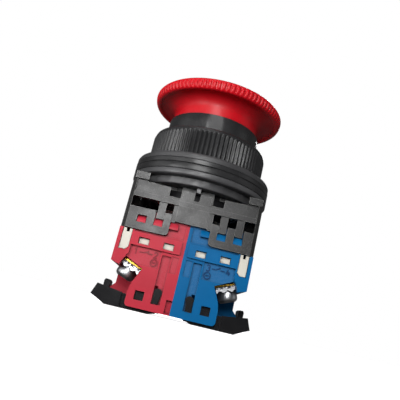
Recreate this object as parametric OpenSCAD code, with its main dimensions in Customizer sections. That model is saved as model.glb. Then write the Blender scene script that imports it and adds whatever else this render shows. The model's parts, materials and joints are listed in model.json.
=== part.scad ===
// Push-lock, turn-reset emergency stop button with one normally closed and one normally open contact block.
// Z runs along the button's axis, towards the head. The origin is the centre of the panel seat, the
// sealing face of the gasket that the back of the panel rests on. Front is -Y, and X runs left to right.

/* [Head] */
// Radius of the mushroom head at its rim
head_r = 20; // [19:0.1:20.5]
// Height of the head's crown above the panel seat
crown_z = 26.8; // [26:0.1:28]
// Travel of the head when it is pushed
press_travel = 4; // [3:0.1:4]
// Grip ribs around the head's rim
head_ribs = 90; // [60:1:110]

/* [Front body] */
// Radius of the smooth neck above the ring nut
neck_r = 14; // [13.8:0.05:14.1]
// Height of the top of the neck
neck_top = 14.6; // [14:0.1:14.8]
// Outer radius of the thread that passes through the panel
thread_r = 15; // [14.9:0.05:15.05]
// Radius of the ring nut over its ribs
nut_r = 17.35; // [17.2:0.05:17.5]
// Height of the top of the ring nut
nut_top = 9.1; // [8.8:0.1:9.4]
// Grip ribs around the ring nut
nut_ribs = 84; // [60:1:100]
// Radius of the flange stack behind the panel
flange_r = 20.3; // [20:0.1:20.6]

/* [Holder] */
// Half width of the block holder
holder_u = 17.9; // [17.8:0.05:18.2]
// Half depth of the block holder, over its latch plates
holder_d = 15.75; // [15.7:0.05:16]
// Height of the lower edge of the holder
holder_bottom = -22.9; // [-22.9:0.05:-22.7]
// Turn of the locking ring when it releases the holder, in degrees
release_turn = 15; // [10:1:15]

/* [Contact blocks] */
// Height of the lower edge of the contact blocks
block_bottom = -42.4; // [-42.6:0.1:-42.2]
// Tilt of each terminal screw from the button's axis, in degrees
terminal_tilt = 21; // [18:1:22]
// Travel of a terminal cover from open to closed
cover_travel = 3.9; // [3.5:0.1:4.2]
// Radius of a terminal screw's shank
shank_r = 1.75; // [1.5:0.05:1.8]

/* [Hidden] */
$fn = 96;
eps = 0.01;
big = 60;

// Head: a spherical crown, a rounded rim and a concave underside that runs down into a sleeve
rim_z = 21.5;
rim_low_z = 19.9;
rim_shoulder_r = head_r - 1.2;
crown_drop = 4.2;
crown_edge_r = head_r - 0.8;
crown_r = (crown_edge_r * crown_edge_r + crown_drop * crown_drop) / (2 * crown_drop);
under_z = 20.4;
fillet_r = 3.5;
sleeve_r = 13.1;
sleeve_in_r = 11.6;
sleeve_bottom = 6;
cap_r = 12;
cap_seat_z = 24.3;
boss_r = 5.2;
boss_bottom = 19.6;
spigot_r = 2.95;
run_gap = 0.05;

// Stem and latch
shaft_r = 4.5;
stem_flange_z = 16.4;
barrel_floor = [-5, -2.5];
stem_bottom = barrel_floor[0] - 0.3;
tube_bottom = -11;
tube_r = 13.5;
latch_z = -8;
latch_tip = 9.1;
latch_r = 1.2;
latch_slope = 0.4;
sleeve_end = -10.6;
hub_r = 8.1;
plate_z = [-13.2, -11.2];

// Flange stack, from the panel seat downwards
gasket_z = -1.8;
thrust_z = -3.3;
base_z = [-6.7, -5];
skirt_bottom = -8.7;
washer_seat = -0.3;
groove = 0.22;

// Holder
holder_top = -8.75;
rib_z = [-14.2, -12.8];
wall_d = [14.45, 14.95];
inner_d = 14.65;
side_d = 15.8;
latch_d = [14.75, holder_d];
side_in_u = 16.7;
window_u = [4.4, 7.5];
tab_u = [13.75, 17.45];
low_top = -9.7;
web_back = 12.4;
lever_w = 2.4;
lever_r = holder_u + 0.7;
lever_reach = lever_r * sin(release_turn) + lever_w / 2 + 0.6;
hook_u = [4.2, 8.5, 12.95];
hook_w = 2.3;
hook_z = [-20.9, -19.15];
latch_window = [2.5, -20.97, -18.95];

// Contact block, drawn for the right-hand side: u is the distance from the centre plane
neck_d = 14.6;
face_d = 15;
band_d = 15.5;
plate_in_d = 13.8;
block_top = -17.3;
centre_gap = 0.01;
contact_u = 7.8;
slot_u = [2.96, 5.33];
tab_z = [-40.4, -39.95];
tab_stem_u = [4.5, 5.12];
barrier_d = 2;
terminal_u = 12.8;
terminal_z = -31.2;
terminal_d = 9.2;
strip_t = 0.8;
plate_t = 0.4;
clamp_z = [-1.35, -0.45];
clamp_lip_z = -2.1;
washer_z = [-2.05, -1.4];
screw_head_r = 2.65;
screw_head_t = 2.6;
riser_u = [10, 10.8];
riser_y = [-7.2, -5.9];
post_top = -13.25;
spring_seat = -31.6;

// ---------------------------------------------------------------- helpers

// Stretches a flat drawing in u and z over a range of depth: y runs from y0 to y1.
module slab(y0, y1) {
    translate([0, y1, 0]) rotate([90, 0, 0]) linear_extrude(y1 - y0) children();
}

// A box from ranges of x, y and z.
module block(x, y, z) {
    translate([x[0], y[0], z[0]]) cube([x[1] - x[0], y[1] - y[0], z[1] - z[0]]);
}

// A rectangle from ranges of u and z.
module pane(u, z) {
    translate([u[0], z[0]]) square([u[1] - u[0], z[1] - z[0]]);
}

// A tube from a range of radius and a range of height.
module ring(r, z) {
    translate([0, 0, z[0]]) difference() {
        cylinder(r = r[1], h = z[1] - z[0]);
        translate([0, 0, -eps]) cylinder(r = r[0], h = z[1] - z[0] + 2 * eps);
    }
}

// Points of an arc about a centre, from angle a to angle b.
function arc(centre, r, a, b, steps = 8) =
    [for (i = [0:steps]) let (t = a + (b - a) * i / steps) centre + r * [cos(t), sin(t)]];

// A ribbed band: flat-topped ribs with straight flanks, equally spaced.
module ribbed_band(root_r, tip_r, count, z) {
    step = 360 / count;
    outline = [for (i = [0:count - 1]) each [
        for (p = [[-0.28, root_r], [-0.18, tip_r], [0.18, tip_r], [0.28, root_r]])
            p[1] * [cos((i + p[0]) * step), sin((i + p[0]) * step)]]];
    translate([0, 0, z[0]]) linear_extrude(z[1] - z[0]) polygon(outline);
}

// A round wire wound into a helix about Z, closed at both ends.
module coil(r, wire_r, z, turns, sides = 7, per_turn = 18) {
    rings = turns * per_turn;
    points = [for (i = [0:rings]) let (a = 360 * turns * i / rings, h = z[0] + (z[1] - z[0]) * i / rings)
        for (j = [0:sides - 1]) let (b = 360 * j / sides, rr = r + wire_r * cos(b))
            [rr * cos(a), rr * sin(a), h + wire_r * sin(b)]];
    walls = [for (i = [0:rings - 1]) for (j = [0:sides - 1]) let (k = (j + 1) % sides)
        [i * sides + j, (i + 1) * sides + j, (i + 1) * sides + k, i * sides + k]];
    start = [for (j = [0:sides - 1]) j];
    finish = [for (j = [sides - 1:-1:0]) rings * sides + j];
    polyhedron(points, concat(walls, [start, finish]), convexity = 10);
}

// Places something drawn for the right-hand block on the right or, mirrored, on the left.
module on_side(left) {
    mirror([left ? 1 : 0, 0, 0]) children();
}

// Places something drawn for the front on the front or, mirrored, on the rear.
module on_face(rear) {
    mirror([0, rear ? 1 : 0, 0]) children();
}

// Moves a piece drawn along -Z from the origin onto the axis of a terminal screw.
module on_terminal() {
    translate([terminal_u, -terminal_d, terminal_z]) rotate([0, -terminal_tilt, 0]) children();
}

// ---------------------------------------------------------------- head and stem

function crown_at(r) = crown_z - crown_r + sqrt(crown_r * crown_r - r * r);

module mushroom_head() {
    crown = [for (i = [0:6]) let (r = cap_r + (rim_shoulder_r - cap_r) * i / 6) [r, crown_at(r)]];
    rim = arc([head_r - 0.9, rim_z - 0.2], 0.9, 50, -60, 5);
    under = arc([sleeve_r + 0.1 + fillet_r, under_z - fillet_r], fillet_r, 90, 180, 10);
    section = concat(crown, rim,
        [[head_r - 1.1, rim_low_z], [head_r - 1.5, rim_low_z], [head_r - 1.8, under_z]], under,
        [[sleeve_r, 16.4], [sleeve_r, sleeve_bottom], [sleeve_in_r, sleeve_bottom], [sleeve_in_r, 18],
         [13.6, 21.6], [12, 23], [boss_r, 23], [boss_r, boss_bottom], [spigot_r + run_gap, boss_bottom],
         [spigot_r + run_gap, cap_seat_z], [cap_r, cap_seat_z]]);
    color("red") union() {
        rotate_extrude() polygon(section);
        difference() {
            ribbed_band(head_r - 0.35, head_r, head_ribs, [20.7, 22]);
            cylinder(r = head_r - 1, h = big);
        }
    }
}

module head_cap() {
    top = [for (i = [0:6]) let (r = (cap_r - 0.05) * (6 - i) / 6) [r, crown_at(r)]];
    color("crimson") rotate_extrude()
        polygon(concat([[0, 25.3], [5.5, 25.3], [5.5, cap_seat_z], [cap_r - 0.05, cap_seat_z]], top));
}

module stem() {
    color("whitesmoke") difference() {
        union() {
            translate([0, 0, stem_bottom]) cylinder(r = shaft_r, h = boss_bottom - 0.05 - stem_bottom);
            translate([0, 0, stem_flange_z]) cylinder(r = hub_r, h = 1.5);
            translate([0, 0, boss_bottom - 1]) cylinder(r = spigot_r, h = 6.4);
            translate([0, 0, -10.9]) cylinder(r = 3, h = 6);
        }
        ring([spigot_r - 0.45, spigot_r + 1], [24.35, 24.9]);
        translate([-big / 2, 0, latch_z]) rotate([0, 90, 0]) cylinder(r = latch_r + run_gap, h = big);
    }
}

module stem_clip() {
    color("silver") difference() {
        ring([spigot_r - 0.43, 4.6], [24.37, 24.88]);
        block([-1.6, 1.6], [-6, 0], [24, 25.2]);
    }
}

module push_plate() {
    color("gainsboro") difference() {
        union() {
            translate([0, 0, plate_z[1] - eps]) cylinder(r = hub_r, h = stem_bottom - plate_z[1] + eps);
            translate([0, 0, plate_z[0]]) cylinder(r = 11, h = plate_z[1] - plate_z[0]);
        }
        translate([0, 0, -10.95]) cylinder(r = 3.02, h = 10);
        translate([-big / 2, 0, latch_z]) rotate([0, 90, 0]) cylinder(r = latch_r + run_gap, h = big);
    }
}

module reset_spring() {
    color("silver") coil(6.5, 0.4, [18.4, 21.6], 4);
}

module return_spring() {
    color("silver") coil(7.5, 0.5, [barrel_floor[1] + 0.6, stem_flange_z - 0.6], 7);
}

module latch_pin() {
    color("gray") translate([latch_tip - 3.9, 0, latch_z]) rotate([0, 90, 0]) {
        cylinder(r = latch_r, h = 3.4);
        translate([0, 0, 3.4]) cylinder(r1 = latch_r, r2 = latch_r - 0.5, h = 0.5);
    }
}

module latch_spring() {
    color("silver") translate([0, 0, latch_z]) rotate([0, 90, 0]) coil(0.85, 0.18, [-4.9, 4.9], 10, 5, 12);
}

module lock_sleeve() {
    bore = [for (z = [sleeve_end, barrel_floor[0] - 0.1]) [latch_tip + 0.4 + latch_slope * (latch_z - z), z]];
    color("ivory") rotate_extrude()
        polygon([bore[0], [tube_r - 1.25, sleeve_end], [tube_r - 1.25, barrel_floor[0] - 0.1], bore[1]]);
}

module shaft_seal() {
    color("dimgray") translate([0, 0, 7]) rotate_extrude()
        translate([sleeve_r + 0.6, 0]) circle(r = 0.55, $fn = 24);
}

// ---------------------------------------------------------------- front body

module operator_barrel() {
    section = [[sleeve_r + 0.3, barrel_floor[1]], [sleeve_r + 0.3, neck_top - 1], [neck_r - 0.15, neck_top],
        [neck_r, neck_top - 0.2], [neck_r, 8.2], [thread_r - 0.4, 8.2],
        [thread_r, 7.8], [thread_r, thrust_z], [flange_r - groove, thrust_z], [flange_r, thrust_z - groove],
        [flange_r, base_z[1] + groove], [flange_r - groove, base_z[1]], [tube_r, base_z[1]],
        [tube_r, tube_bottom], [tube_r - 1.2, tube_bottom], [tube_r - 1.2, barrel_floor[0]],
        [shaft_r + run_gap, barrel_floor[0]], [shaft_r + run_gap, 1], [6, 1], [6, barrel_floor[1]]];
    color("darkslategray") difference() {
        rotate_extrude() polygon(section);
        ring([sleeve_r + 0.1, sleeve_r + 1.2], [6.35, 7.65]);
        block([-4, 4], [-big, -neck_r + 0.18], [nut_top + 0.5, big]);
    }
}

module ring_nut() {
    lip_r = neck_r + 0.2;
    bore_r = thread_r + 0.06;
    section = [[bore_r, 0.32], [nut_r - 0.6, 0.32], [nut_r - 0.4, 0.6], [nut_r - 0.4, nut_top - 1],
        [nut_r - 0.2, nut_top - 0.5], [nut_r - 0.5, nut_top - 0.15], [nut_r - 0.9, nut_top],
        [lip_r, nut_top], [lip_r, 8.3], [bore_r, 8.3]];
    color("#222224") union() {
        rotate_extrude() polygon(section);
        difference() {
            ribbed_band(nut_r - 0.35, nut_r, nut_ribs, [0.7, nut_top - 1.2]);
            translate([0, 0, -1]) cylinder(r = nut_r - 1, h = big);
        }
    }
}

module nut_washer() {
    color("slategray") ring([thread_r + 0.15, nut_r - 0.4], [washer_seat + 0.02, 0.3]);
}

module panel_gasket() {
    section = [[thread_r + 0.1, gasket_z], [flange_r - 0.1, gasket_z], [flange_r - 0.1, -0.75],
        [flange_r - 0.35, -0.3], [flange_r - 0.9, 0], [nut_r + 0.2, 0], [nut_r + 0.05, washer_seat],
        [thread_r + 0.1, washer_seat]];
    color("#2b2b2d") rotate_extrude() polygon(section);
}

module thrust_ring() {
    section = [[thread_r + 0.05, thrust_z], [flange_r - groove, thrust_z], [flange_r, thrust_z + groove],
        [flange_r, gasket_z - groove], [flange_r - groove, gasket_z], [thread_r + 0.05, gasket_z]];
    color("#303032") rotate_extrude() polygon(section);
}

module base_ring() {
    section = [[tube_r + 0.02, base_z[0]], [14.6, base_z[0]], [14.6, skirt_bottom], [17.8, skirt_bottom],
        [18, skirt_bottom + 0.2], [18, base_z[0]], [flange_r - 0.3, base_z[0]], [flange_r, base_z[0] + 0.3],
        [flange_r, base_z[1] - groove], [flange_r - groove, base_z[1]], [tube_r + 0.02, base_z[1]]];
    color("#262628") union() {
        rotate_extrude() polygon(section);
        for (turn = [0, 180]) rotate(turn) block([-0.6, 0.6], [14.8, 16.8], [-10, skirt_bottom + 0.5]);
    }
}

// ---------------------------------------------------------------- holder

// The wall above the latch plates: low beside its two deep windows, with the key notch and the cross rib.
module holder_wall() {
    slab(-wall_d[1], -wall_d[0]) difference() {
        pane([-17.5, 17.5], [rib_z[0], holder_top]);
        for (s = [-1, 1]) scale([s, 1]) {
            pane(window_u, [-12.05, -7]);
            pane([window_u[1] - eps, tab_u[0]], [low_top, -7]);
        }
        pane([-0.75, 0.75], [-12, holder_top + eps]);
    }
    slab(-holder_d + 0.05, -wall_d[1] + eps) pane([-side_in_u, side_in_u], rib_z);
    slab(-holder_d, -inner_d) {
        pane([-4.3, 4.3], [-18.65, rib_z[0] + eps]);
        for (s = [-1, 1]) scale([s, 1]) pane(tab_u, [-9.25, -7.35]);
    }
    slab(-inner_d - 0.5, -inner_d)
        for (s = [-1, 1]) translate([s * 4.85, 0]) pane([-0.56, 0.56], [-18.9, rib_z[0] + eps]);
    slab(-wall_d[1] - 0.35, -wall_d[1] + eps) difference() {
        pane([-3.9, 3.9], [rib_z[1] - eps, -9.9]);
        pane([-0.75, 0.75], [-12, -9]);
    }
}

// A latch plate, drawn on the right: two windows catch two of the contact block's hooks.
module latch_plate(fingers) {
    corner = 1.1;
    slab(-latch_d[1], -latch_d[0]) difference() {
        union() {
            pane([5.4 + corner, side_in_u + eps], [holder_bottom, -17]);
            pane([5.4, 8], [holder_bottom + corner, -17]);
            translate([5.4 + corner, holder_bottom + corner]) circle(r = corner);
        }
        for (i = [1, 2]) translate([hook_u[i], 0])
            pane([-latch_window[0] / 2, latch_window[0] / 2], [latch_window[1], latch_window[2]]);
        for (i = fingers) translate([hook_u[i], 0]) pane([-1.2, 1.2], [latch_window[2] - eps, -16]);
    }
    slab(-latch_d[0] - 0.6, -inner_d)
        for (i = fingers) translate([hook_u[i] - 0.1, 0])
            pane([-1, 1], [latch_window[2] + 0.1, rib_z[0] + eps]);
}

// A side wall, drawn on the right, with its outer corners cut back to a slope.
module side_wall() {
    slope = [1.15, 1.3];
    half = [[side_in_u, 0], [side_in_u, side_d], [holder_u - slope[0], side_d], [holder_u, side_d - slope[1]],
        [holder_u, 0]];
    translate([0, 0, holder_bottom]) linear_extrude(-7.6 - holder_bottom)
        for (flip = [0, 1]) mirror([0, flip, 0]) polygon(half);
}

module block_holder() {
    web = [-9.6, holder_top];
    color("#2a2a2c") difference() {
        union() {
            for (turn = [0, 180]) rotate(turn) {
                holder_wall();
                latch_plate([1, 2]);
                mirror([1, 0, 0]) latch_plate([1]);
                side_wall();
            }
            difference() {
                block([-side_in_u - eps, side_in_u + eps], [-wall_d[0] - eps, wall_d[0] + eps], web);
                translate([0, 0, web[0] - 1]) cylinder(r = tube_r + 0.3, h = 3);
                for (turn = [0, 180], flip = [0, 1]) rotate(turn) mirror([flip, 0, 0])
                    block([window_u[0], tab_u[0]], [-big, -web_back], [web[0] - 1, holder_top + 1]);
            }
        }
        translate([0, 0, -7.75]) cylinder(r = 18.1, h = 5);
        ring([0, 18.05], [holder_top, -7]);
        for (s = [0, 180]) rotate(s)
            block([side_in_u - 1, holder_u + 1], [-lever_w / 2 - 0.4, lever_reach], [-11.65, -9.55]);
    }
}

module lock_ring() {
    color("#1e1e20") union() {
        ring([tube_r + 0.1, wall_d[0] - 0.35], [-12.3, -9.7]);
        block([tube_r + 0.3, lever_r], [-lever_w / 2, lever_w / 2], [-11.4, -9.8]);
    }
}

// ---------------------------------------------------------------- contact block housing

// Outline of the wide faces: the upper body, the terminal notch at the side and the lower plate.
function block_outline() = concat(
    [[centre_gap, -22.95], [holder_u, -22.95], [holder_u, -32.05], [15.63, -32.76], [14.9, -31],
     [14.3, -30.25], [9.5, -32.5], [11.4, -36.6], [11.75, -38.6]],
    arc([10.75, block_bottom + 1], 1, 0, -90, 6), [[centre_gap, block_bottom]]);

// The wall between the front and rear terminals, with a foot that flares outwards.
function barrier_outline() = [[centre_gap, -30], [14.5, -30], [17, -31], [17, -37], [18.3, -38.4],
    [18.3, -39.8], [11, -39.8], [11, block_bottom], [centre_gap, block_bottom]];

// A catch for the latch plate: a wedge that is thin at its lead-in and deep at its lower edge.
module hook() {
    translate([-hook_w / 2, -neck_d + eps, 0]) rotate([90, 0, 90]) linear_extrude(hook_w)
        polygon([[0, hook_z[0]], [-1.05, hook_z[0]], [-1.05, -20.35], [-0.35, hook_z[1]], [0, hook_z[1]]]);
}

// Front half of a housing, drawn on the right. Its open side lies on the plane y = 0.
module shell_half() {
    difference() {
        union() {
            block([centre_gap, 16.5], [-neck_d, 0], [-23, block_top]);
            slab(-face_d, 0) polygon(block_outline());
            slab(-band_d, -face_d + eps) {
                pane([1, 14.3], [-27, -23.5]);
                polygon([[14, -23.1], [holder_u, -23.1], [holder_u, -32.05], [15.63, -32.76], [14.9, -31],
                    [14, -29.4]]);
            }
            slab(-face_d, -neck_d + eps) pane([centre_gap, 0.9], [-23, -19.2]);
            for (u = hook_u) translate([u, 0, 0]) hook();
        }
        // contact chamber
        slab(-plate_in_d, eps) polygon([[1.2, -18.3], [15.6, -18.3], [15.6, -23], [16.9, -23], [16.9, -29],
            [14.2, -29], [9, -31.6], [1.2, -31.6]]);
        // cover chamber, open below and towards the terminal notch
        slab(-plate_in_d, eps)
            polygon([[1.2, -33.4], [9.3, -33.4], [12.6, -34.5], [12.6, -45], [1.2, -45]]);
        // slot for the insert's side bar, and the two windows for its lugs
        slab(-big, -plate_in_d + eps) {
            polygon([[14.4, -22.9], [14.4, -27.9], [15.2, -28.75], [16.95, -28.75], [16.95, -22.9]]);
            for (u = [4.285, 10.88]) translate([u, 0]) pane([-1.4, 1.4], [-26.4, -24.66]);
            pane([7.41, 9.86], [-40.42, -38.06]);
            pane([tab_stem_u[0] - 0.15, slot_u[1]], [tab_z[0] - 0.08, tab_z[1] + cover_travel + 0.2]);
        }
        // channel for the cover's guide tab, and a shallow panel beside it
        slab(-big, -face_d + 0.6) pane(slot_u, [tab_z[0] - 0.08, -27.9]);
        slab(-big, -face_d + 0.25) pane([0.95, 2.65], [-32, -27.7]);
        slab(-big, -face_d + 0.3) pane([5.75, 13.95], [-31.7, -27]);
        // way through for the screw, the contact strip and the carrier's post
        on_terminal() translate([0, 0, -1]) cylinder(r = shank_r + 0.35, h = 8);
        on_terminal() block([-3.95, 3.7], [-3.8, 3.8], [-12, 0.03]);
        block([riser_u[0] - 0.25, riser_u[1] + 0.25], [riser_y[0] - 0.25, riser_y[1] + 0.25], [-34, -30]);
        block([contact_u - 1.7, contact_u + 1.7], [-2.7, 1], [-19, -17]);
        translate([contact_u, 0, spring_seat]) cylinder(r = 2.6, h = 3);
    }
    difference() {
        slab(-barrier_d, 0) polygon(barrier_outline());
        slab(-barrier_d - 1, 1) pane([1.2, 14.5], [spring_seat, -29]);
    }
}

module shell(left, rear) {
    color(left ? "#d62f45" : "#0b6fc0") on_side(left) on_face(rear) difference() {
        shell_half();
        // notch at the foot of the centre wall, where the two housings meet
        if (left) slab(-big, -face_d + 1) pane([-1, 1.55], [block_bottom + 0.3, -38.7]);
    }
}

// White inner frame: a channel whose lugs snap into the housing's windows.
module insert(left) {
    color("#e9e4d4") on_side(left) difference() {
        union() for (rear = [false, true]) on_face(rear) {
            slab(-plate_in_d + 0.05, -12.8) pane([1.4, 15.5], [-27.6, -18.5]);
            slab(-band_d + 0.25, -12.8) polygon([[14.5, -23.05], [14.5, -27.85], [15.25, -28.65],
                [16.85, -28.65], [16.85, -23.05], [16, -23.05], [16, -24.05], [15.3, -24.05],
                [15.3, -23.05]]);
            for (u = [4.285, 10.88]) translate([u, 0, 0])
                slab(-face_d + 0.35, -12.8) pane([-1.3, 1.3], [-26.3, -24.76]);
            block([14.6, 15.5], [-13, eps], [-27.6, -18.5]);
        }
        for (rear = [false, true]) on_face(rear)
            on_terminal() translate([0, 0, -1]) cylinder(r = shank_r + 0.5, h = 12);
    }
}

// ---------------------------------------------------------------- contacts

module carrier(left) {
    window = left ? [-24.2, -20.7] : [-24.2, -19.9];
    color("#f2efe6") on_side(left) difference() {
        union() {
            block([contact_u - 3.2, contact_u + 3.2], [-4.4, 4.4], [-26.5, -18.5]);
            block([contact_u - 1.5, contact_u + 1.5], [-2.5, 2.5], [-18.6, post_top]);
        }
        block([contact_u - 2, contact_u + 2], [-6, 6], window);
        translate([contact_u, 0, -27]) cylinder(r = 2.6, h = 2);
    }
}

// Height of the underside of the moving bridge: it presses up on the fixed tips when normally closed.
function bridge_z(left) = left ? -22 : -24.1;

module bridge(left) {
    z = bridge_z(left);
    color("#b87a3a") on_side(left) union() {
        block([contact_u - 1.4, contact_u + 1.4], [-9.4, 9.4], [z, z + 0.6]);
        for (rear = [false, true]) on_face(rear)
            block([contact_u - 1.9, contact_u + 1.9], [-9.4, -6], [z, z + 0.6]);
    }
}

// Contact tips: thin round buttons on the side of the bridge that meets the fixed contacts.
module tips(left, z) {
    color("silver") on_side(left) for (s = [-1, 1])
        translate([contact_u, s * 7.8, z]) cylinder(r = 1.3, h = 0.5);
}

module bridge_tips(left) {
    tips(left, left ? bridge_z(left) + 0.6 : bridge_z(left) - 0.5);
}

module fixed_tips(left) {
    tips(left, left ? bridge_z(left) + 1.12 : bridge_z(left) - press_travel - 1.05);
}

module bridge_spring(left) {
    z = left ? [-23.95, -22.25] : [-23.25, -20.15];
    color("silver") on_side(left) translate([contact_u, 0, 0]) coil(1.5, 0.2, z, 3, 6, 14);
}

module carrier_spring(left) {
    color("silver") on_side(left) translate([contact_u, 0, 0])
        coil(2.1, 0.2, [spring_seat + 0.25, -25.25], 4, 6, 14);
}

// Terminal: a tilted plate under the screw, and a strip that carries on to the fixed contact.
module terminal(left, rear) {
    shelf = left ? bridge_z(left) + 1.62 : bridge_z(left) - press_travel - 1.05 - strip_t;
    color("goldenrod") on_side(left) on_face(rear) {
        difference() {
            union() {
                on_terminal() block([-3.4, 3.3], [-3.4, 3.4], [-plate_t, 0]);
                block(riser_u, riser_y, [-32.3, shelf + strip_t]);
                block([contact_u, riser_u[1]], riser_y, [shelf, shelf + strip_t]);
                block([contact_u - 1.5, contact_u + 1.5], [-terminal_d, riser_y[1]],
                    [shelf, shelf + strip_t]);
            }
            on_terminal() translate([0, 0, -2]) cylinder(r = shank_r + run_gap, h = 4);
        }
    }
}

// A square clamp washer with a lip turned down on two of its sides.
module clamp_washer(left, rear) {
    color("lightgray") on_side(left) on_face(rear) on_terminal() difference() {
        union() {
            block([-3.25, 3.25], [-3.25, 3.25], clamp_z);
            for (s = [0, 180]) rotate(s) block([-3.25, 3.25], [2.8, 3.25], [clamp_lip_z, clamp_z[0] + eps]);
        }
        translate([0, 0, -3]) cylinder(r = shank_r + run_gap, h = 3);
    }
}

// A split lock washer between the clamp washer and the screw's head.
module lock_washer(left, rear) {
    color("gray") on_side(left) on_face(rear) on_terminal() difference() {
        ring([shank_r + run_gap, screw_head_r], washer_z);
        rotate(35) block([-0.15, 0.15], [0, 5], [-4, -1]);
    }
}

module terminal_screw(left, rear) {
    seat = washer_z[0] - 0.05;
    shank_end = 3.8;
    color("silver") on_side(left) on_face(rear) on_terminal() difference() {
        union() {
            translate([0, 0, seat]) cylinder(r = shank_r, h = shank_end - seat);
            translate([0, 0, shank_end - eps]) cylinder(r1 = shank_r, r2 = shank_r - 0.6, h = 0.6);
            translate([0, 0, seat - screw_head_t]) rotate_extrude()
                polygon(concat([[0, screw_head_t], [screw_head_r, screw_head_t]],
                    arc([screw_head_r - 1.1, 1.1], 1.1, 0, -90, 6), [[0, 0]]));
        }
        for (turn = [0, 90]) rotate(turn)
            block([-1.75, 1.75], [-0.42, 0.42], [-6, seat - screw_head_t + 1.1]);
    }
}

// ---------------------------------------------------------------- terminal cover

// Half of a cover, drawn at the front on the right: an outer wall, a face, a floor and a guide tab.
module cover_half() {
    floor_z = [-43.2, -42.45];
    slab(-15.2, -14)
        polygon([[12.95, -39.35], [19.55, -38.45], [20.6, -41.3], [16.6, -43.2], [12.95, -43.1]]);
    slab(-14.05, 0) polygon([[18.6, -38.6], [19.6, -38.45], [20.6, -41.3], [18.6, -42.2]]);
    slab(-13.7, -barrier_d - 0.3) polygon([[4.7, floor_z[0] + 0.35], [5.5, floor_z[0]], [16.6, floor_z[0]],
        [18.7, -42.2], [18.7, -41.4], [16.4, floor_z[1]], [4.7, floor_z[1]]]);
    slab(-14.1, -13.6) polygon([[12.05, floor_z[0]], [16.6, floor_z[0]], [18.7, -42.2], [18.7, -41.4],
        [16.4, floor_z[1]], [12.05, floor_z[1]]]);
    slab(-13.7, -13.05) {
        pane([6.4, 11.7], [floor_z[0], -38]);
        pane([3.7, 6.5], [floor_z[0] + 0.4, -39.6]);
        pane([11.6, 13.2], [-43.1, -39.5]);
    }
    slab(-14.1, -13) pane([12.05, 13.2], [-43.1, -39.5]);
    // two ribs on the face, seen through the housing's square window
    slab(-13.76, -13.6) for (z = [-39.75, -38.65]) pane([7, 10.2], [z - 0.22, z + 0.22]);
    // guide tab that shows in the channel
    slab(-14.6, -13.6) pane(tab_stem_u, tab_z);
    slab(-15.15, -14.48) {
        translate([4.15, -37.5]) circle(r = 1.05);
        polygon([[3.15, -37.6], [5.15, -37.6], [5.1, tab_z[0]], [3.6, tab_z[0]]]);
    }
}

module terminal_cover(left) {
    knob_u = [18.55, 20.1];
    color("#1b1b1d") on_side(left) difference() {
        union() {
            for (rear = [false, true]) on_face(rear) cover_half();
            slab(-3, 3) polygon([[knob_u[0], -40], [knob_u[0], -36.9], [18.9, -36.5], [19.8, -36.5],
                [knob_u[1], -37], [20, -40]]);
        }
        for (rear = [false, true]) on_face(rear)
            on_terminal() translate([0, 0, -18]) cylinder(r = 3.6, h = 9);
    }
}

// ---------------------------------------------------------------- assembly

mushroom_head();
head_cap();
stem();
stem_clip();
push_plate();
reset_spring();
return_spring();
mirror([1, 0, 0]) latch_pin();  // latch_pin_left
latch_pin();  // latch_pin_right
latch_spring();
lock_sleeve();
shaft_seal();
operator_barrel();
ring_nut();
nut_washer();
panel_gasket();
thrust_ring();
base_ring();
block_holder();
lock_ring();

for (side = ["red", "blue"]) {
    left = side == "red";
    insert(left);
    carrier(left);
    bridge(left);
    bridge_tips(left);
    fixed_tips(left);
    bridge_spring(left);
    carrier_spring(left);
    terminal_cover(left);
    for (face = ["front", "rear"]) {
        rear = face == "rear";
        shell(left, rear);
        terminal(left, rear);
        clamp_washer(left, rear);
        lock_washer(left, rear);
        terminal_screw(left, rear);
    }
}
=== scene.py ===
"""Emergency stop button: a push-lock, turn-reset mushroom head over two contact blocks."""

import json
import math

import bmesh
import bpy
from mathutils import Matrix, Vector


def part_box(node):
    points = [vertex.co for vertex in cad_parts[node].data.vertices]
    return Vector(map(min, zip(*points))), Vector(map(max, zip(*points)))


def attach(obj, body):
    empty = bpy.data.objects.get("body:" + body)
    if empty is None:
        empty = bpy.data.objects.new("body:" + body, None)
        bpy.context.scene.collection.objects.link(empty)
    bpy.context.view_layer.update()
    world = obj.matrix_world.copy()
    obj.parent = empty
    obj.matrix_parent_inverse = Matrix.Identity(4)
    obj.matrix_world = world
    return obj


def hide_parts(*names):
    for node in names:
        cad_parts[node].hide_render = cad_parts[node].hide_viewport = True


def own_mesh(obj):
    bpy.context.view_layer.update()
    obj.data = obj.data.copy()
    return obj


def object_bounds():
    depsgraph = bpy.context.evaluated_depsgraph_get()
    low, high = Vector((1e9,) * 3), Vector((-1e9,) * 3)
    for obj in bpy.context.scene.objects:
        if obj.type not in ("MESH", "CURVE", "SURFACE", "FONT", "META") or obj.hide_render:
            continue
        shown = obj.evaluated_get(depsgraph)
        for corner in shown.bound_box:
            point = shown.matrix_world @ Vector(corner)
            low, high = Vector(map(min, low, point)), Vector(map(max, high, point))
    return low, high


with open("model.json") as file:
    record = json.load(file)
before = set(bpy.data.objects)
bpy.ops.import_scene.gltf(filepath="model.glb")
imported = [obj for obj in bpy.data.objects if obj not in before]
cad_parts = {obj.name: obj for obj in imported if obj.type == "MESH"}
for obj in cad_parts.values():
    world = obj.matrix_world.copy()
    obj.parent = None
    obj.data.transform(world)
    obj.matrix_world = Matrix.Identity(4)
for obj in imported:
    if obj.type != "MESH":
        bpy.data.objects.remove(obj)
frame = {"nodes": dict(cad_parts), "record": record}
cad_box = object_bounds()

MM = 0.001
TAU = 2 * math.pi
SIDES = {"red": -1, "blue": 1}
FACES = {"front": -1, "rear": 1}

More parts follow.
